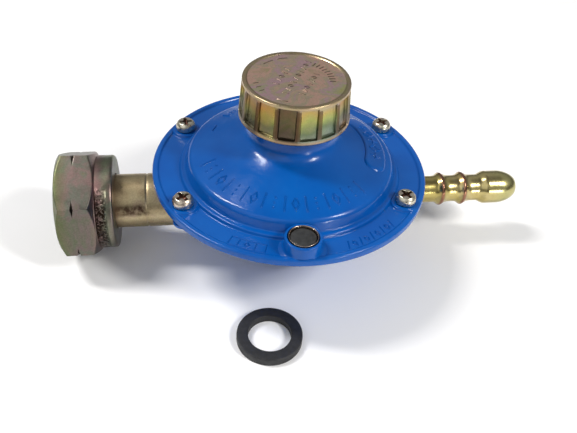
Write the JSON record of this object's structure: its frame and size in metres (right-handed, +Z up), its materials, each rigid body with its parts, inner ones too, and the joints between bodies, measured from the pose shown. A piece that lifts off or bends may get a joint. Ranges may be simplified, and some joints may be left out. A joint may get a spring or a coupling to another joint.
{
  "type": "gas regulator",
  "caption": "Adjustable low-pressure gas regulator: round diaphragm housing with a turning knob, an inlet union nut and an outlet hose barb.",
  "frame": {"origin": "centre of the flat underside of the lower body, on the axis of the knob", "axes": "+Z up along the knob axis, +X along the gas flow from the inlet union nut to the outlet barb, -Y towards the vent"},
  "size_m": [0.1465, 0.0945, 0.061],
  "materials": {
    "blue_paint": "gloss blue stove enamel on die-cast zinc",
    "yellow_zinc": "yellow chromate zinc plating with a rainbow sheen",
    "bright_zinc": "bright zinc-plated steel",
    "brass": "turned brass",
    "spring_steel": "drawn spring wire",
    "black_rubber": "matt moulded nitrile rubber",
    "copper": "soft copper seal ring",
    "grey_plug": "dark grey porous disc"
  },
  "bodies": {
    "housing": {"lower_body": "blue_paint", "cover": "blue_paint", "cover_screw_1": "bright_zinc", "cover_screw_2": "bright_zinc", "cover_screw_3": "bright_zinc", "cover_screw_4": "bright_zinc", "cover_screw_5": "bright_zinc", "diaphragm": "black_rubber", "main_spring": "spring_steel", "lever_pin": "spring_steel", "orifice_nozzle": "brass", "inlet_stem": "yellow_zinc", "inlet_filter": "brass", "stem_seal": "copper", "outlet_barb": "yellow_zinc", "barb_seal": "copper", "vent_cup": "bright_zinc", "vent_disc": "grey_plug"},
    "spring_seat": {"spring_seat": "bright_zinc"},
    "knob": {"knob": "yellow_zinc", "adjusting_screw": "brass"},
    "diaphragm_group": {"diaphragm_plate": "bright_zinc", "diaphragm_post": "brass", "relief_nut": "brass", "relief_spring": "spring_steel"},
    "lever": {"lever": "bright_zinc"},
    "valve_slide": {"valve_slide": "brass", "valve_pad": "black_rubber"},
    "slip_ring": {"nut_slip_ring": "brass"},
    "union_nut": {"union_nut": "yellow_zinc"},
    "inlet_washer": {"inlet_washer": "black_rubber"}
  },
  "joints": [
    {"name": "knob_turn", "type": "hinge", "parent": "spring_seat", "child": "knob", "pos_m": [0, 0, 0.055], "axis": [0, 0, 1], "range_deg": [-720, 1080]},
    {"name": "spring_seat_travel", "type": "slide", "parent": "housing", "child": "spring_seat", "axis": [0, 0, 1], "range_m": [-0.003, 0.0045], "deforming": ["main_spring"]},
    {"name": "diaphragm_travel", "type": "slide", "parent": "housing", "child": "diaphragm_group", "axis": [0, 0, 1], "range_m": [0, 0.0026], "deforming": ["diaphragm"]},
    {"name": "lever_pivot", "type": "hinge", "parent": "housing", "child": "lever", "pos_m": [-0.014, 0, 0.0119], "axis": [0, 1, 0], "range_deg": [-10.7, 0.1]},
    {"name": "valve_travel", "type": "slide", "parent": "housing", "child": "valve_slide", "axis": [1, 0, 0], "range_m": [-0.00121, 0.0001]},
    {"name": "nut_slip", "type": "slide", "parent": "housing", "child": "slip_ring", "axis": [1, 0, 0], "range_m": [0, 0.0105]},
    {"name": "nut_turn", "type": "hinge", "parent": "slip_ring", "child": "union_nut", "pos_m": [-0.062, 0, 0.0184], "axis": [1, 0, 0], "continuous": true},
    {"name": "washer_lift", "type": "slide", "parent": "housing", "child": "inlet_washer", "axis": [0, 0, 1], "range_m": [0, 0.02]}
  ],
  "couplings": [
    {"joint": "spring_seat_travel", "follows": "knob_turn", "m_per_rad": 0.00023873},
    {"joint": "lever_pivot", "follows": "diaphragm_travel", "rad_per_m": -71.429},
    {"joint": "valve_travel", "follows": "diaphragm_travel", "ratio": -0.46429}
  ]
}
